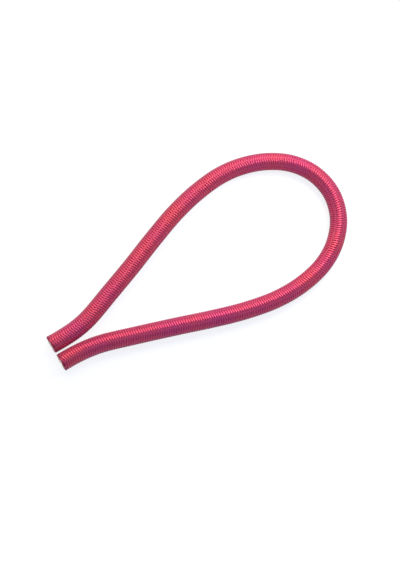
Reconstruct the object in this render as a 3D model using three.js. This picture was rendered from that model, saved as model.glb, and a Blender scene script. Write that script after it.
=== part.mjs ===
// Elastic cord: rubber strands packed inside a braided cover, lying in a teardrop loop.
// Lengths are in millimetres and +Z is up. The cord lies on the plane Z = 0, the origin is the middle of
// its outline on that plane, and +X points along the loop, from the two cut ends to the round end.

import * as THREE from 'three';

// Rubber strands, packed in rings round one centre strand
const STRAND_DIAMETER = 0.6; // across the corners of one strand
const STRAND_SIDES = 6; // flats round a strand
const STRAND_GAP = 0.03; // between two neighbouring strands
const RING_NAMES = ['inner', 'outer']; // the rings of strands, from the centre outwards

// Braided cover
const COVER_CLEARANCE = 0.04; // between the outermost strands and the cover
const COVER_WALL = 0.4; // the braid is two yarns thick
const COVER_SIDES = 12; // flats round the cover, one of them facing down

// Neck, where the two cut ends lie side by side
const NECK_GAP = 0.5; // between the covers of the two ends
const NECK_MIDDLE_Y = -1.1; // halfway between the two ends
const NECK_START_X = -35.2; // where the two ends begin to run straight
const END_RUN = 2.9; // straight run of each end, up to its cut

// Length of cord between two cross-sections of the model
const SECTION_SPACING = 3.5;

// Colours and finishes
const COVER_LOOK = { color: 0xd04468, roughness: 0.45, metalness: 0 }; // crimson satin yarn
const STRAND_LOOK = { color: 0xe4d8bd, roughness: 0.6, metalness: 0 }; // pale natural rubber

// Sizes that follow from those above
const STRAND_PITCH = STRAND_DIAMETER + STRAND_GAP;
const CORE_RADIUS = RING_NAMES.length * STRAND_PITCH + STRAND_DIAMETER / 2;
const BORE_RADIUS = CORE_RADIUS + COVER_CLEARANCE;
const CORD_RADIUS = BORE_RADIUS + COVER_WALL;
const NECK_OFFSET = CORD_RADIUS + NECK_GAP / 2;
const CUT_X = NECK_START_X - END_RUN;

// X and Y of the cord's middle line, from one cut end round the loop to the other
const ROUTE_POINTS = [
  [CUT_X, NECK_MIDDLE_Y - NECK_OFFSET],
  [NECK_START_X, NECK_MIDDLE_Y - NECK_OFFSET],
  [-31.6, -3.6],
  [-28.0, -4.25],
  [-20.8, -6.4],
  [-11.3, -9.4],
  [-3.7, -11.9],
  [4.0, -14.1],
  [11.8, -15.5],
  [18.8, -15.5],
  [25.6, -14.0],
  [30.8, -11.0],
  [34.6, -6.4],
  [36.1, -0.7],
  [34.9, 5.1],
  [31.4, 9.9],
  [26.4, 13.2],
  [20.7, 15.1],
  [14.8, 15.7],
  [7.8, 14.9],
  [1.1, 13.2],
  [-6.5, 10.4],
  [-13.9, 7.4],
  [-20.8, 4.8],
  [-28.0, 2.15],
  [-31.6, 1.4],
  [NECK_START_X, NECK_MIDDLE_Y + NECK_OFFSET],
  [CUT_X, NECK_MIDDLE_Y + NECK_OFFSET],
];

// Middle line of the cord, one cord radius above the plane that it lies on
function cordRoute() {
  const points = ROUTE_POINTS.map(([x, y]) => new THREE.Vector3(x, y, CORD_RADIUS));
  return new THREE.CatmullRomCurve3(points, false, 'centripetal');
}

// Corners of a regular polygon round a centre, with one flat facing each way along its first axis
function polygonCorners(sides, radiusToCorners, centre) {
  const corners = [];
  for (let side = 0; side < sides; side += 1) {
    const angle = ((side + 0.5) * 2 * Math.PI) / sides;
    const corner = new THREE.Vector2(Math.cos(angle), Math.sin(angle));
    corners.push(corner.multiplyScalar(radiusToCorners).add(centre));
  }
  return corners;
}

// Sweeps a cross-section along the whole cord, from cut end to cut end
function sweepAlongCord(section, route) {
  const steps = Math.round(route.getLength() / SECTION_SPACING);
  return new THREE.ExtrudeGeometry(section, { extrudePath: route, steps, bevelEnabled: false });
}

function namedMesh(name, geometry, look) {
  const mesh = new THREE.Mesh(geometry, new THREE.MeshStandardMaterial(look));
  mesh.name = name;
  return mesh;
}

// Tube of braided yarn with a bore for the strands, both measured to their flats
function braidedCover(route) {
  const axis = new THREE.Vector2(0, 0);
  const cornersPastFlats = 1 / Math.cos(Math.PI / COVER_SIDES);
  const section = new THREE.Shape(polygonCorners(COVER_SIDES, CORD_RADIUS * cornersPastFlats, axis));
  section.holes.push(new THREE.Path(polygonCorners(COVER_SIDES, BORE_RADIUS * cornersPastFlats, axis)));
  return namedMesh('braided_cover', sweepAlongCord(section, route), COVER_LOOK);
}

// One rubber strand, running beside the cord's middle line at its own place in the cross-section
function rubberStrand(name, centre, route) {
  const section = new THREE.Shape(polygonCorners(STRAND_SIDES, STRAND_DIAMETER / 2, centre));
  return namedMesh(name, sweepAlongCord(section, route), STRAND_LOOK);
}

// One ring of strands, with as many as fit round it
function strandRing(ringName, ringRadius, route) {
  const count = Math.floor((2 * Math.PI * ringRadius) / STRAND_PITCH);
  const strands = [];
  for (let index = 0; index < count; index += 1) {
    const angle = (index * 2 * Math.PI) / count;
    const centre = new THREE.Vector2(Math.cos(angle), Math.sin(angle)).multiplyScalar(ringRadius);
    strands.push(rubberStrand(`${ringName}_strand_${index + 1}`, centre, route));
  }
  return strands;
}

function elasticCord() {
  const route = cordRoute();
  const cord = new THREE.Group();
  cord.add(braidedCover(route));
  cord.add(rubberStrand('centre_strand', new THREE.Vector2(0, 0), route));
  RING_NAMES.forEach((ringName, ringsInside) => {
    const ringRadius = (ringsInside + 1) * STRAND_PITCH;
    cord.add(...strandRing(ringName, ringRadius, route));
  });
  return cord;
}

export default elasticCord();
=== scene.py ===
# Elastic cord: a satin braided cover over rubber strands, lying in a teardrop loop on a pale floor.
# Lengths are in metres and +Z is up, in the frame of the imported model. The cord lies on the plane Z = 0.

import math

import bpy
import numpy as np
from mathutils import Matrix, Vector


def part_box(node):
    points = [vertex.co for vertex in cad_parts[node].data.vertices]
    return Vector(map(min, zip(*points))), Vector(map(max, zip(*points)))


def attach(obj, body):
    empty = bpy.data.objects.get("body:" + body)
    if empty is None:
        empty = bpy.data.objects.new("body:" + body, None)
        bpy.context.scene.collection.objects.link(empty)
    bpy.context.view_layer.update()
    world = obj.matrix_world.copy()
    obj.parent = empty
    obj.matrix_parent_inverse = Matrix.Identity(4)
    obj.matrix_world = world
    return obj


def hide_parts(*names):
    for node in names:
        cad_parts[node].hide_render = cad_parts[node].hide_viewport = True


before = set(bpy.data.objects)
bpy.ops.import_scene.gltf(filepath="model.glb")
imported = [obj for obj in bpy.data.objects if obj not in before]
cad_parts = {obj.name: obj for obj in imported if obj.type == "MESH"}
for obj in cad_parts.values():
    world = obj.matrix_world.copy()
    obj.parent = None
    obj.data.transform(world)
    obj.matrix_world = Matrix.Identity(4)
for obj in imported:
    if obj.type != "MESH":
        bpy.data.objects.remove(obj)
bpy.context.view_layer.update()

MM = 0.001
FULL_TURN = 2 * math.pi
UP = np.array([0.0, 0.0, 1.0])

# Cord size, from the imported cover
cover_low, cover_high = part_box("braided_cover")
CORD_RADIUS = (cover_high.z - cover_low.z) / 2

# Neck, where the two cut ends lie side by side
NECK_GAP = 0.5 * MM  # between the covers of the two ends
NECK_MIDDLE_Y = -0.0011  # halfway between the two ends
NECK_START_X = -0.0352  # where the two ends begin to run straight
END_RUN = 2.9 * MM  # straight run of each end, up to its cut
NECK_OFFSET = CORD_RADIUS + NECK_GAP / 2
CUT_X = NECK_START_X - END_RUN

# X and Y of the cord's middle line, from one cut end round the loop to the other
ROUTE_POINTS = [
    (CUT_X, NECK_MIDDLE_Y - NECK_OFFSET),
    (NECK_START_X, NECK_MIDDLE_Y - NECK_OFFSET),
    (-0.0316, -0.0036),
    (-0.0280, -0.00425),
    (-0.0208, -0.0064),
    (-0.0113, -0.0094),
    (-0.0037, -0.0119),
    (0.0040, -0.0141),
    (0.0118, -0.0155),
    (0.0188, -0.0155),
    (0.0256, -0.0140),
    (0.0308, -0.0110),
    (0.0346, -0.0064),
    (0.0361, -0.0007),
    (0.0349, 0.0051),
    (0.0314, 0.0099),
    (0.0264, 0.0132),
    (0.0207, 0.0151),
    (0.0148, 0.0157),
    (0.0078, 0.0149),
    (0.0011, 0.0132),
    (-0.0065, 0.0104),
    (-0.0139, 0.0074),
    (-0.0208, 0.0048),
    (-0.0280, 0.00215),
    (-0.0316, 0.0014),
    (NECK_START_X, NECK_MIDDLE_Y + NECK_OFFSET),
    (CUT_X, NECK_MIDDLE_Y + NECK_OFFSET),
]
ROUTE_SAMPLES_PER_SPAN = 60  # from one of these points to the next

# Braid: as many yarns wind one way as the other, each passing over two and under two
YARNS_EACH_WAY = 6
YARNS_PER_PIECE = 3
RIB_PITCH = 0.55 * MM  # along the cord, from one yarn to the next
BRAID_LEAD = RIB_PITCH * YARNS_EACH_WAY  # along the cord, for one turn of a yarn
COLUMN_ANGLE = FULL_TURN / YARNS_EACH_WAY  # round the cord, from one yarn to the next
LEG_TWIST = math.radians(34)  # of the whole braid round the cord, at the cut ends
BIGHT_TWIST = math.radians(51)  # and halfway along the cord

# Yarn: a flattened bundle, pressed against its neighbours
COVER_WALL = 0.4 * MM
CROWN_PROUD = 0.07 * MM  # of the highest crowns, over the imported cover
BRAID_RADIUS = CORD_RADIUS + CROWN_PROUD
FLOOR_CLEARANCE = 0.005 * MM  # between the braid and the floor
YARN_CROWN = 0.17 * MM  # from a yarn's middle line up to its crown
YARN_SWING = 0.13 * MM  # from a middle line that passes under the others to one that passes over
YARN_BASE = COVER_WALL + CROWN_PROUD - YARN_CROWN - YARN_SWING  # from the middle line down
YARN_CLEARANCE = 0.004 * MM  # from a yarn's side to halfway to its neighbour
FLOAT_HALF_WIDTH = 0.28 * MM  # of a yarn where it floats
PINCHED_HALF_WIDTH = 0.15 * MM  # and where it passes between two others
PINCH_SHARPNESS = 0.5  # a lower power keeps a yarn wide nearer to its crossings
CROSSING_SHARPNESS = 1.6  # a higher value makes a yarn dive more steeply
FLOAT_STRAIGHTENING = 0.4  # how much straighter across the cord a yarn lies where it floats
SAMPLES_PER_TURN = 56  # rings of points to one turn of a yarn
CROWN_SIDES = 7  # flats over a yarn's crown
BASE_SIDES = 3  # flats under it
YARN_SIDES = CROWN_SIDES + BASE_SIDES

# Unevenness of the lay, in waves that each have a length along the cord and a number round it
UNEVEN_SHIFT = 0.015 * MM  # along the cord, by each wave
UNEVEN_WAVES = [(5.3 * MM, 1), (9.7 * MM, 0), (14.1 * MM, 2), (27.0 * MM, 1)]
UNEVEN_FADE = 3 * MM  # stretch before a cut in which the lay becomes even
BRAID_SEED = 7

# Cut ends, melted so that the yarns hold together
MELT_LENGTH = 0.9 * MM  # of the darkened stretch
RIM_ROUNDING = 0.22 * MM  # radius of the rim

# Rubber strands, packed in rings round one centre strand
STRAND_DIAMETER = 0.6 * MM
STRAND_GAP = 0.03 * MM  # between two neighbouring strands
STRAND_PITCH = STRAND_DIAMETER + STRAND_GAP
STRAND_SIDES = 12
STRAND_RINGS = 240  # evenly spaced rings of points along a strand
STRAND_ROUNDING = 0.08 * MM  # radius of the edge of a strand's cut
ROUNDING_STEPS = 4  # round that edge
STRAND_RECESS = 0.12 * MM  # the deepest that a strand ends inside the cover
RING_NAMES = ("inner", "outer")  # from the centre outwards

# Baking map: a piece's tubes lie in rows, and their caps in one more row
MAP_NAME = "OFBake"
MAP_ROW_MARGIN = 0.06  # share of a row left free on each side
YARN_MAP_ROWS = 15
STRAND_MAP_ROWS = 9

# Colour sockets of Blender's Mix node
MIX_INPUTS = (0, 6, 7)  # share, first colour and second colour
MIX_OUTPUT = 2

# Satin yarn: its cooler and warmer red, darkened by painted shade in the valleys between the yarns and on
# their flanks, and paled by a painted highlight along their crowns
YARN_COOL_RED = (0.60, 0.040, 0.124, 1)
YARN_WARM_RED = (0.73, 0.059, 0.070, 1)
# painted shade in the valleys and on the flanks, painted highlight on the crowns, multiplied into the red
VALLEY_PAINTED_SHADE = (1.10, 0.45, 0.60, 1)
FLANK_PAINTED_SHADE = (1.00, 0.78, 0.86, 1)
CROWN_PAINTED_HIGHLIGHT = (0.94, 1.75, 1.55, 1)
FLANK_PLACE = 0.6  # between the valley at 0 and the crown at 1
YARN_ROUGHNESS = 0.36
SATIN_GLOSS = {
    "Metallic": 0.42,
    "Specular IOR Level": 0.3,
    "Specular Tint": (0.2, 0.12, 0.16, 1),
    "Coat Weight": 0.15,
    "Coat Roughness": 0.3,
    "Sheen Weight": 0.1,
    "Sheen Roughness": 0.8,
    "Sheen Tint": (0.2, 0.3, 0.9, 1),
    "Anisotropic": 0.6,
    "Anisotropic Rotation": 0.25,  # of a full turn, from the run of the yarn
}

# Tint, from the cooler red at 0 to the warmer at 1
OWN_TINT_RANGE = (0.4, 0.6)  # a yarn's own tint, to which the waves are added
TINT_WAVES = [  # length along the cord, phase and strength
    (9.7 * MM, 0.0, 0.1),
    (13.9 * MM, 0.0, 0.1),
    (64 * MM, 0.21, 0.13),
    (280 * MM, -0.33, 0.1),
]

# Melted yarn
MELTED_RED = (0.20, 0.010, 0.025, 1)
MELTED_SHARE = 0.7  # of that red, at the cut itself
MELTED_ROUGHNESS = 0.22

# Filament streaks
STREAK_LENGTH = 2.2  # millimetres along the yarn
STREAKS_ACROSS = 5.0  # from a yarn's middle to its side
STREAK_TWIST = 0.25  # half-widths of the yarn that a streak crosses in a millimetre
STREAK_OFFSET = 10  # from one yarn's streaks to the next yarn's in the noise, so that they differ
STREAK_DETAIL = 2
STREAK_SHADE = 0.25  # how much darker or paler than the yarn
STREAK_DARK_BELOW = 0.25  # level of the noise
STREAK_PALE_ABOVE = 0.75
STREAK_ROUGHNESS = 0.16  # from the smoothest streak to the roughest
STREAK_HEIGHT = 0.02 * MM

# Pale rubber
RUBBER_DARK = (0.62, 0.52, 0.35, 1)
RUBBER_PALE = (0.77, 0.69, 0.51, 1)
RUBBER_DARK_BELOW = 0.3  # level of the noise
RUBBER_PALE_ABOVE = 0.65
RUBBER_GRAINS_PER_METRE = 4500.0
RUBBER_DETAIL = 3
RUBBER_ROUGHNESS = 0.5
RUBBER_ROUGHNESS_RANGE = 0.25
RUBBER_GRAIN_HEIGHT = 0.03 * MM

# Floor and backdrop
FLOOR_HALF_SIZE = 2.0
BACKDROP_HEIGHT = 0.8
FLOOR_WHITE = 0.84  # seen besides the floor's own lit grey
FLOOR_LOOK = {
    "Base Color": (0.25, 0.25, 0.25, 1),
    "Roughness": 0.9,
    "Specular IOR Level": 0.0,
    "Emission Color": (1, 1, 1, 1),
}

# Photograph and camera
FRAME_HEIGHT_PIXELS = 570
PIXELS_PER_METRE = 4400  # at the cord
CAMERA_DISTANCE = 0.235
CAMERA_TILT = math.radians(12)  # from straight above the loop
CAMERA_ROLL = math.radians(30)  # round the sight line
CAMERA_AIM = Vector((-0.00224, -0.00384, CORD_RADIUS))
CAMERA_CLIP_START = 0.01
SENSOR = 36.0  # millimetres along the longer side of the picture

# Key lamp, broad and warm, from the top of the picture
KEY_FROM_SIGHT_LINE = math.radians(55)
KEY_SPREAD = math.radians(55)
KEY_STRENGTH = 2.6
KEY_COLOUR = (1.0, 0.82, 0.64)

# Near lamp, small, to the right of the camera's aim, up the picture and towards the camera
NEAR_PLACE = Vector((0.055, 0.055, 0.065))
NEAR_SIZE = 0.04
NEAR_POWER = 0.047
NEAR_COLOUR = (1.0, 0.95, 0.92)

# Narrow lamp on the two cut ends, placed from the point that it aims at
ENDS_AIM = Vector((CUT_X, NECK_MIDDLE_Y, CORD_RADIUS))
ENDS_PLACE = Vector((-0.15, 0.02, 0.002))
ENDS_CONE = math.radians(3.4)
ENDS_SIZE = 0.002
ENDS_POWER = 0.6
ENDS_COLOUR = (1.0, 0.95, 0.88)

# Cool light all round
WORLD_COLOUR = (0.10, 0.25, 0.52, 1.0)
WORLD_STRENGTH = 1.0


def unit(vectors):
    """The same directions, each with a length of 1."""
    return vectors / np.linalg.norm(vectors, axis=-1, keepdims=True)


def smooth_step(value):
    """Smooth rise from 0 to 1, level before and after."""
    value = np.clip(value, 0, 1)
    return value * value * (3 - 2 * value)


def running_length(points):
    """Length along a line of points, from the first one to each of them."""
    steps = np.linalg.norm(np.diff(points, axis=0), axis=1)
    return np.concatenate([[0], np.cumsum(steps)])


def spline_span(before, start, end, after, share):
    """Points of one centripetal Catmull-Rom span, at the given shares of it."""
    gap_before = math.sqrt(np.linalg.norm(start - before))
    gap = math.sqrt(np.linalg.norm(end - start))
    gap_after = math.sqrt(np.linalg.norm(after - end))
    leave = (start - before) / gap_before - (end - before) / (gap_before + gap) + (end - start) / gap
    arrive = (end - start) / gap - (after - start) / (gap + gap_after) + (after - end) / gap_after
    leave *= gap
    arrive *= gap
    square = -3 * start + 3 * end - 2 * leave - arrive
    cube = 2 * start - 2 * end + leave + arrive
    share = share[:, None]
    return start + leave * share + square * share**2 + cube * share**3


def smooth_line(points):
    """A smooth line through the points, with many samples to each span."""
    knots = np.array(points)
    knots = np.vstack([2 * knots[0] - knots[1], knots, 2 * knots[-1] - knots[-2]])
    share = np.arange(ROUTE_SAMPLES_PER_SPAN) / ROUTE_SAMPLES_PER_SPAN
    spans = [spline_span(*knots[i : i + 4], share) for i in range(len(knots) - 3)]
    return np.vstack([*spans, knots[-2:-1]])


class Route:
    """The cord's middle line, measured by the distance from its first cut end."""

    def __init__(self, points, height):
        self.line = smooth_line(points)
        self.height = height
        self.distance = running_length(self.line)
        self.length = self.distance[-1]
        steps = np.diff(self.line, axis=0)
        headings = np.unwrap(np.arctan2(steps[:, 1], steps[:, 0]))
        middles = (self.distance[1:] + self.distance[:-1]) / 2
        self.heading = np.interp(self.distance, middles, headings)
        self.curvature = np.gradient(self.heading, self.distance)

    def at(self, distance):
        """Centre, forward and left directions at each distance."""
        x = np.interp(distance, self.distance, self.line[:, 0])
        y = np.interp(distance, self.distance, self.line[:, 1])
        heading = np.interp(distance, self.distance, self.heading)
        zero = np.zeros_like(x)
        centre = np.stack([x, y, zero + self.height], axis=-1)
        forward = np.stack([np.cos(heading), np.sin(heading), zero], axis=-1)
        left = np.stack([-np.sin(heading), np.cos(heading), zero], axis=-1)
        return centre, forward, left

    def bend_at(self, distance):
        """Curvature at each distance, which is positive where the cord bends to its left."""
        return np.interp(distance, self.distance, self.curvature)

    def to_cut(self, distance):
        """Distance to the nearer cut end."""
        return np.minimum(distance, self.length - distance)


route = Route(ROUTE_POINTS, CORD_RADIUS)


def cord_twist(distance):
    """How far the braid's columns have turned round the cord."""
    share = np.sin(math.pi * distance / route.length) ** 2
    return LEG_TWIST + (BIGHT_TWIST - LEG_TWIST) * share


def uneven_lay(distance, angle, phases):
    """Slow unevenness of the whole braid, as a shift along the cord."""
    total = np.zeros_like(distance)
    for (wave_length, waves_round), phase in zip(UNEVEN_WAVES, phases):
        total += np.sin(FULL_TURN * (distance / wave_length + phase) + waves_round * angle)
    return UNEVEN_SHIFT * total


def yarn_course(direction, index, distance):
    """Angle of a yarn round the cord, how far it lies over (1) or under (-1) the others, and its shift
    along the cord, which lays it straighter across where it floats."""
    start = index * COLUMN_ANGLE
    if direction < 0:
        start += COLUMN_ANGLE / 2
    angle = direction * FULL_TURN * distance / BRAID_LEAD + start
    phase = angle * YARNS_EACH_WAY / 2
    over = direction * np.tanh(CROSSING_SHARPNESS * np.sin(phase)) / math.tanh(CROSSING_SHARPNESS)
    shift = FLOAT_STRAIGHTENING * RIB_PITCH / math.pi * np.cos(phase)
    return angle + cord_twist(distance), over, shift


def yarn_line(place, angle, radius):
    """A yarn's middle line, its direction and the direction of its crown."""
    centre, _, left = route.at(place)
    outward = np.cos(angle)[:, None] * left + np.sin(angle)[:, None] * UP
    middle = centre + radius[:, None] * outward
    along = unit(np.gradient(middle, axis=0))
    height = unit(outward - np.sum(outward * along, axis=1, keepdims=True) * along)
    return middle, along, height


def yarn_section():
    """Angles round a yarn's section: the crown in more steps than the base."""
    crown = np.linspace(0, math.pi, CROWN_SIDES + 1)
    base = np.linspace(math.pi, FULL_TURN, BASE_SIDES + 1)[1:-1]
    return np.concatenate([crown, base])


def yarn_skin(middle, along, height, over, squeeze):
    """Points round a yarn: wide where it floats, pinched where it passes between two others."""
    section = yarn_section()
    openness = np.abs(over) ** PINCH_SHARPNESS
    half_width = PINCHED_HALF_WIDTH + (FLOAT_HALF_WIDTH - PINCHED_HALF_WIDTH) * openness
    room = RIB_PITCH / 2 - YARN_CLEARANCE
    spread = np.clip(half_width[:, None] * np.cos(section), -room, room) * squeeze[:, None]
    rise = np.where(np.sin(section) > 0, YARN_CROWN, YARN_BASE) * np.sin(section)
    side = np.cross(height, along)
    return middle[:, None] + spread[..., None] * side[:, None] + rise[:, None] * height[:, None]


def melt_to_cut(points, distance):
    """Trims a yarn's points to the two cut planes and rounds the rim that the melting leaves."""
    centre, forward, _ = (part[:, None] for part in route.at(distance))
    offset = points - centre
    ahead = np.sum(offset * forward, axis=-1)
    place = np.clip(distance[:, None] + ahead, 0, route.length)
    across = offset - ahead[..., None] * forward
    radius = np.linalg.norm(across, axis=-1)
    depth = np.clip(1 - route.to_cut(place) / RIM_ROUNDING, 0, 1)
    rim_radius = BRAID_RADIUS - RIM_ROUNDING * (1 - np.sqrt(1 - depth**2))
    across *= (np.minimum(radius, rim_radius) / radius)[..., None]
    return centre + across + (place - distance[:, None])[..., None] * forward


def yarn_tube(direction, index, phases):
    """One yarn's points, ring by ring, with its own length and the cord's distance at each ring."""
    rings = int(route.length / BRAID_LEAD * SAMPLES_PER_TURN)
    distance = np.linspace(0, route.length, rings)
    angle, over, shift = yarn_course(direction, index, distance)
    loose = smooth_step(route.to_cut(distance) / UNEVEN_FADE)
    place = distance + loose * (shift + uneven_lay(distance, angle, phases))
    radius = BRAID_RADIUS - YARN_CROWN - YARN_SWING * (1 - over) / 2
    middle, along, height = yarn_line(place, angle, radius)
    squeeze = 1 - route.bend_at(place) * radius * np.cos(angle)
    points = melt_to_cut(yarn_skin(middle, along, height, over, squeeze), place)
    points[..., 2] = np.maximum(points[..., 2], FLOOR_CLEARANCE)
    return points, running_length(middle), place


def tube_faces(rings, sides, first):
    """Quads between neighbouring rings, and a cap at each end."""
    ring, side = np.meshgrid(np.arange(rings - 1), np.arange(sides), indexing="ij")
    beside = (side + 1) % sides
    near = first + ring * sides
    far = near + sides
    quads = np.stack([near + side, near + beside, far + beside, far + side], axis=-1).reshape(-1, 4)
    start_cap = [first + i for i in reversed(range(sides))]
    end_cap = [first + (rings - 1) * sides + i for i in range(sides)]
    return quads.tolist() + [start_cap, end_cap]


def quads_map(rings, sides, rows, first_row, all_rows):
    """Map places of one tube's quads, laid out in rows."""
    rings_per_row = math.ceil((rings - 1) / rows)
    ring, side = np.meshgrid(np.arange(rings - 1), np.arange(sides), indexing="ij")
    row = ring // rings_per_row
    u = (ring - row * rings_per_row) / rings_per_row
    height = 1 - 2 * MAP_ROW_MARGIN
    v = (first_row + row + MAP_ROW_MARGIN + height * side / sides) / all_rows
    u_step = 1 / rings_per_row
    v_step = height / sides / all_rows
    corners = [(u, v), (u, v + v_step), (u + u_step, v + v_step), (u + u_step, v)]
    return np.stack([np.stack(corner, axis=-1) for corner in corners], axis=2).reshape(-1, 2)


def caps_map(sides, tube, all_rows):
    """Map places of one tube's two caps, beside each other in the last row."""
    angles = np.arange(sides) * FULL_TURN / sides
    circle = np.stack([np.cos(angles), np.sin(angles)], axis=-1) * (0.5 - MAP_ROW_MARGIN) / all_rows
    start_u = (2 * tube + 0.5) / all_rows
    end_u = start_u + 1 / all_rows
    v = (all_rows - 0.5) / all_rows
    return np.vstack([circle[::-1] + (start_u, v), circle + (end_u, v)])


def tubes_mesh(name, tubes, rows):
    """A mesh of closed tubes, each given as an array of rings of points, with its baking map."""
    rings, sides, _ = tubes[0].shape
    all_rows = rows * len(tubes) + 1
    faces = []
    places = []
    for tube in range(len(tubes)):
        faces += tube_faces(rings, sides, tube * rings * sides)
        places.append(quads_map(rings, sides, rows, tube * rows, all_rows))
        places.append(caps_map(sides, tube, all_rows))
    mesh = bpy.data.meshes.new(name)
    mesh.from_pydata(np.vstack([points.reshape(-1, 3) for points in tubes]), [], faces)
    mesh.uv_layers.new(name=MAP_NAME).data.foreach_set("uv", np.vstack(places).ravel())
    mesh.polygons.foreach_set("use_smooth", [len(face) == 4 for face in faces])
    return mesh


def tubes_piece(name, tubes, rows, material):
    """One piece made of closed tubes, all of one material."""
    mesh = tubes_mesh(name, tubes, rows)
    mesh.materials.append(material)
    piece = bpy.data.objects.new(name, mesh)
    bpy.context.scene.collection.objects.link(piece)
    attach(piece, "root")
    return piece


def yarn_tint(distance, rng):
    """Shade of one yarn between the cooler and the warmer red, in patches that all the yarns share."""
    own = rng.uniform(*OWN_TINT_RANGE)
    tint = np.full_like(distance, own)
    for wave_length, phase, strength in TINT_WAVES:
        tint += strength * np.sin(FULL_TURN * (distance / wave_length + phase))
    return np.clip(tint, 0, 1)


def yarn_values(index, length, place, rng):
    """What the yarn's material reads at every point of one yarn."""
    melted = smooth_step(1 - route.to_cut(place) / MELT_LENGTH)
    return {
        "yarn_number": np.full(len(place) * YARN_SIDES, index),
        "yarn_along": np.repeat(length / MM, YARN_SIDES),
        "yarn_across": np.tile(np.cos(yarn_section()), len(place)),
        "yarn_tint": np.repeat(yarn_tint(place, rng), YARN_SIDES),
        "melted": np.repeat(melted, YARN_SIDES),
    }


def store_values(piece, name, values):
    """Keeps one value at every point of the piece's mesh."""
    attribute = piece.data.attributes.new(name, "FLOAT", "POINT")
    attribute.data.foreach_set("value", np.concatenate(values).astype(np.float32))


def yarns_piece(name, direction, indices, phases, rng, material):
    """Some of the yarns that wind one way round the cord."""
    tubes = []
    values = []
    for index in indices:
        points, length, place = yarn_tube(direction, index, phases)
        tubes.append(points)
        values.append(yarn_values(index, length, place, rng))
    piece = tubes_piece(name, tubes, YARN_MAP_ROWS, material)
    for value_name in values[0]:
        store_values(piece, value_name, [yarn[value_name] for yarn in values])
    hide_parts("braided_cover")
    return piece


def cover_pieces(rng, material):
    """The whole cover, a few yarns to a piece."""
    phases = rng.random(len(UNEVEN_WAVES))
    pieces = []
    for winding, direction in (("right_hand", 1), ("left_hand", -1)):
        for first in range(0, YARNS_EACH_WAY, YARNS_PER_PIECE):
            name = f"{winding}_yarns_{first // YARNS_PER_PIECE + 1}"
            indices = range(first, first + YARNS_PER_PIECE)
            pieces.append(yarns_piece(name, direction, indices, phases, rng, material))
    return pieces


def strand_profile(start, end):
    """Where a strand's rings lie along the cord, and their radius, rounded a little at the two cuts."""
    share = np.arange(1, ROUNDING_STEPS) / ROUNDING_STEPS
    rounding = STRAND_ROUNDING * share**2
    rings = np.linspace(start, end, STRAND_RINGS)
    distance = np.sort(np.concatenate([rings, start + rounding, end - rounding]))
    depth = np.minimum(distance - start, end - distance) / STRAND_ROUNDING
    shoulder = np.sqrt(1 - (1 - np.clip(depth, 0, 1)) ** 2)
    return distance, STRAND_DIAMETER / 2 - STRAND_ROUNDING * (1 - shoulder)


def strand_tube(across, start, end):
    """One strand's points, ring by ring, at its own place in the cross-section."""
    distance, radius = strand_profile(start, end)
    centre, _, left = route.at(distance)
    middle = centre - across[0] * UP + across[1] * left
    angles = np.arange(STRAND_SIDES) * FULL_TURN / STRAND_SIDES
    outward = np.cos(angles)[:, None] * left[:, None] + np.sin(angles)[:, None] * UP
    return middle[:, None] + radius[:, None, None] * outward


def strand_piece(node, across, rng, material):
    """A rubber strand, whose ends lie a little inside the cover."""
    recess = rng.random(2) * STRAND_RECESS
    points = strand_tube(across, recess[0], route.length - recess[1])
    piece = tubes_piece(node + "_rubber", [points], STRAND_MAP_ROWS, material)
    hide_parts(node)
    return piece


def strand_places():
    """Node and place in the cross-section of every strand."""
    yield "centre_strand", (0.0, 0.0)
    for inside, ring_name in enumerate(RING_NAMES):
        ring_radius = (inside + 1) * STRAND_PITCH
        count = int(FULL_TURN * ring_radius / STRAND_PITCH)
        for index in range(count):
            angle = index * FULL_TURN / count
            across = (ring_radius * math.cos(angle), ring_radius * math.sin(angle))
            yield f"{ring_name}_strand_{index + 1}", across


def new_material(name):
    """A new material, its nodes and its shader."""
    material = bpy.data.materials.new(name)
    material.use_nodes = True
    return material, material.node_tree, material.node_tree.nodes["Principled BSDF"]


def set_look(shader, look):
    """Sets the shader's sockets whose value is the same all over the surface."""
    for name, value in look.items():
        shader.inputs[name].default_value = value


def grey(level):
    """A grey of the given level."""
    return (level, level, level, 1)


def feed(tree, socket, source):
    """Gives a socket a number, a colour or another socket's value."""
    if isinstance(source, bpy.types.NodeSocket):
        tree.links.new(source, socket)
    else:
        socket.default_value = source


def stored_value(tree, name):
    """A value that the piece's mesh keeps at its points."""
    node = tree.nodes.new("ShaderNodeAttribute")
    node.attribute_name = name
    return node.outputs["Fac"]


def calculated(tree, operation, *sources):
    """The result of one operation on numbers or sockets."""
    node = tree.nodes.new("ShaderNodeMath")
    node.operation = operation
    for socket, source in zip(node.inputs, sources):
        feed(tree, socket, source)
    return node.outputs[0]


def blended(tree, blend, share, first, second):
    """Two colours blended in the given way."""
    node = tree.nodes.new("ShaderNodeMix")
    node.data_type = "RGBA"
    node.blend_type = blend
    for number, source in zip(MIX_INPUTS, (share, first, second)):
        feed(tree, node.inputs[number], source)
    return node.outputs[MIX_OUTPUT]


def graded(tree, value, *stops):
    """Colour of a value, from stops that each have a place and a colour."""
    node = tree.nodes.new("ShaderNodeValToRGB")
    elements = node.color_ramp.elements
    elements[0].position, elements[0].color = stops[0]
    elements[1].position, elements[1].color = stops[-1]
    for place, colour in stops[1:-1]:
        elements.new(place).color = colour
    feed(tree, node.inputs[0], value)
    return node.outputs[0]


def grain(tree, place, scale, detail):
    """Noise between 0 and 1, at a place given by a vector socket."""
    node = tree.nodes.new("ShaderNodeTexNoise")
    feed(tree, node.inputs["Vector"], place)
    feed(tree, node.inputs["Scale"], scale)
    feed(tree, node.inputs["Detail"], detail)
    return node.outputs[0]


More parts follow.
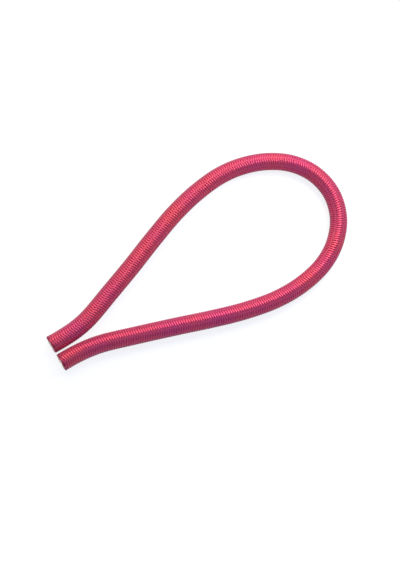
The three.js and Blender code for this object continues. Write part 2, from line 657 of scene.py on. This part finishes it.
def add_bump(tree, shader, height, distance):
    """Fine relief on a surface, as high as the given distance."""
    node = tree.nodes.new("ShaderNodeBump")
    feed(tree, node.inputs["Height"], height)
    feed(tree, node.inputs["Distance"], distance)
    feed(tree, shader.inputs["Normal"], node.outputs[0])


def add_map_tangent(tree, shader):
    """Lays the shader's stretched gloss along the baking map, whose rows follow the yarns."""
    node = tree.nodes.new("ShaderNodeTangent")
    node.direction_type = "UV_MAP"
    node.uv_map = MAP_NAME
    feed(tree, shader.inputs["Tangent"], node.outputs["Tangent"])


def add_seen_white(tree, socket, strength):
    """Gives a strength to the rays that show a background: camera, glossy and transmission rays."""
    path = tree.nodes.new("ShaderNodeLightPath")
    seen = path.outputs["Is Camera Ray"]
    for name in ("Is Glossy Ray", "Is Transmission Ray"):
        seen = calculated(tree, "MAXIMUM", seen, path.outputs[name])
    feed(tree, socket, calculated(tree, "MULTIPLY", seen, strength))


def filament_streaks(tree):
    """Fine streaks that follow the filaments, which turn slowly round their yarn."""
    along = stored_value(tree, "yarn_along")
    twisted = calculated(tree, "MULTIPLY_ADD", along, STREAK_TWIST, stored_value(tree, "yarn_across"))
    number = stored_value(tree, "yarn_number")
    place = tree.nodes.new("ShaderNodeCombineXYZ")
    feed(tree, place.inputs["X"], calculated(tree, "DIVIDE", along, STREAK_LENGTH))
    feed(tree, place.inputs["Y"], calculated(tree, "MULTIPLY", twisted, STREAKS_ACROSS))
    feed(tree, place.inputs["Z"], calculated(tree, "MULTIPLY", number, STREAK_OFFSET))
    return grain(tree, place.outputs[0], 1, STREAK_DETAIL)


def yarn_colour(tree, streaks, melted):
    """Red between a cooler and a warmer shade, with painted shade deepening it between the yarns and a
    painted highlight paling it along their crowns.
    """
    red = graded(tree, stored_value(tree, "yarn_tint"), (0, YARN_COOL_RED), (1, YARN_WARM_RED))
    across = stored_value(tree, "yarn_across")
    height = calculated(tree, "MULTIPLY_ADD", calculated(tree, "MULTIPLY", across, across), -1, 1)
    # painted shade in the valleys and on the flanks, painted highlight along the crowns
    section = graded(tree, height, (0, VALLEY_PAINTED_SHADE), (FLANK_PLACE, FLANK_PAINTED_SHADE), (1, CROWN_PAINTED_HIGHLIGHT))
    red = blended(tree, "MULTIPLY", 1, red, section)
    dark = (STREAK_DARK_BELOW, grey(1 - STREAK_SHADE))
    pale = (STREAK_PALE_ABOVE, grey(1 + STREAK_SHADE))
    red = blended(tree, "MULTIPLY", 1, red, graded(tree, streaks, dark, pale))
    return blended(tree, "MIX", calculated(tree, "MULTIPLY", melted, MELTED_SHARE), red, MELTED_RED)


def yarn_roughness(tree, streaks, melted):
    """Uneven from filament to filament, and smoother where the cut end is melted."""
    lowest = YARN_ROUGHNESS - STREAK_ROUGHNESS / 2
    own = calculated(tree, "MULTIPLY_ADD", streaks, STREAK_ROUGHNESS, lowest)
    change = calculated(tree, "SUBTRACT", MELTED_ROUGHNESS, own)
    return calculated(tree, "MULTIPLY_ADD", melted, change, own)


def satin_yarn():
    """Crimson satin yarn, with streaks along its filaments and dark melted ends."""
    material, tree, shader = new_material("satin_yarn")
    set_look(shader, SATIN_GLOSS)
    streaks = filament_streaks(tree)
    melted = stored_value(tree, "melted")
    feed(tree, shader.inputs["Base Color"], yarn_colour(tree, streaks, melted))
    feed(tree, shader.inputs["Roughness"], yarn_roughness(tree, streaks, melted))
    add_bump(tree, shader, streaks, STREAK_HEIGHT)
    add_map_tangent(tree, shader)
    return material


def pale_rubber():
    """Natural rubber: cream, with a dull and finely uneven surface."""
    material, tree, shader = new_material("pale_rubber")
    place = tree.nodes.new("ShaderNodeTexCoord").outputs["Object"]
    cloud = grain(tree, place, RUBBER_GRAINS_PER_METRE, RUBBER_DETAIL)
    colour = graded(tree, cloud, (RUBBER_DARK_BELOW, RUBBER_DARK), (RUBBER_PALE_ABOVE, RUBBER_PALE))
    lowest = RUBBER_ROUGHNESS - RUBBER_ROUGHNESS_RANGE / 2
    roughness = calculated(tree, "MULTIPLY_ADD", cloud, RUBBER_ROUGHNESS_RANGE, lowest)
    feed(tree, shader.inputs["Base Color"], colour)
    feed(tree, shader.inputs["Roughness"], roughness)
    add_bump(tree, shader, cloud, RUBBER_GRAIN_HEIGHT)
    return material


def white_floor():
    """Pale floor that the camera sees as white, apart from the cord's shadow."""
    material, tree, shader = new_material("white_floor")
    set_look(shader, FLOOR_LOOK)
    add_seen_white(tree, shader.inputs["Emission Strength"], FLOOR_WHITE)
    return material


def make_floor():
    """A square floor with a low backdrop all round it."""
    half = FLOOR_HALF_SIZE
    square = [(-half, -half), (half, -half), (half, half), (-half, half)]
    corners = [(x, y, z) for z in (0, BACKDROP_HEIGHT) for x, y in square]
    count = len(square)
    faces = [tuple(range(count))]
    for corner in range(count):
        beside = (corner + 1) % count
        faces.append((corner, corner + count, beside + count, beside))
    mesh = bpy.data.meshes.new("floor")
    mesh.from_pydata(corners, [], faces)
    mesh.materials.append(white_floor())
    floor = bpy.data.objects.new("floor", mesh)
    bpy.context.scene.collection.objects.link(floor)


def make_camera(turn):
    """The photograph's camera, whose lens gives the photograph's scale at the cord."""
    data = bpy.data.cameras.new("camera")
    data.sensor_width = SENSOR
    data.lens = SENSOR * PIXELS_PER_METRE * CAMERA_DISTANCE / FRAME_HEIGHT_PIXELS
    data.clip_start = CAMERA_CLIP_START
    camera = bpy.data.objects.new("camera", data)
    camera.location = CAMERA_AIM + turn @ Vector((0, 0, CAMERA_DISTANCE))
    camera.rotation_euler = turn.to_euler()
    bpy.context.scene.collection.objects.link(camera)
    bpy.context.scene.camera = camera


def make_lamp(name, kind, aim, towards, strength, colour):
    """A lamp that shines on a place, from the given direction or distance."""
    data = bpy.data.lights.new(name, kind)
    data.energy = strength
    data.color = colour
    lamp = bpy.data.objects.new(name, data)
    lamp.location = aim + towards
    lamp.rotation_euler = towards.to_track_quat("Z", "Y").to_euler()
    lamp.visible_camera = False
    bpy.context.scene.collection.objects.link(lamp)
    return lamp


def make_lamps(turn):
    """A broad key lamp, a small lamp near the round end and a narrow one on the cut ends."""
    towards = Vector((0, math.sin(KEY_FROM_SIGHT_LINE), math.cos(KEY_FROM_SIGHT_LINE)))
    key = make_lamp("key", "SUN", CAMERA_AIM, turn @ towards, KEY_STRENGTH, KEY_COLOUR)
    key.data.angle = KEY_SPREAD
    near = make_lamp("near", "AREA", CAMERA_AIM, turn @ NEAR_PLACE, NEAR_POWER, NEAR_COLOUR)
    near.data.shape = "DISK"
    near.data.size = NEAR_SIZE
    ends = make_lamp("ends", "SPOT", ENDS_AIM, ENDS_PLACE, ENDS_POWER, ENDS_COLOUR)
    ends.data.spot_size = ENDS_CONE
    ends.data.shadow_soft_size = ENDS_SIZE
    ends.visible_glossy = False


def make_world():
    """Even light from all round."""
    world = bpy.data.worlds.new("studio")
    world.use_nodes = True
    background = world.node_tree.nodes["Background"]
    background.inputs["Color"].default_value = WORLD_COLOUR
    background.inputs["Strength"].default_value = WORLD_STRENGTH
    bpy.context.scene.world = world


def make_cord():
    """The whole cord: its cover and its strands."""
    rng = np.random.default_rng(BRAID_SEED)
    cover = cover_pieces(rng, satin_yarn())
    rubber = pale_rubber()
    strands = [strand_piece(node, across, rng, rubber) for node, across in strand_places()]


camera_turn = Matrix.Rotation(-CAMERA_TILT, 3, "Y") @ Matrix.Rotation(-CAMERA_ROLL, 3, "Z")
make_camera(camera_turn)
make_cord()
make_floor()
make_lamps(camera_turn)
make_world()
bpy.context.scene.view_settings.view_transform = "Standard"
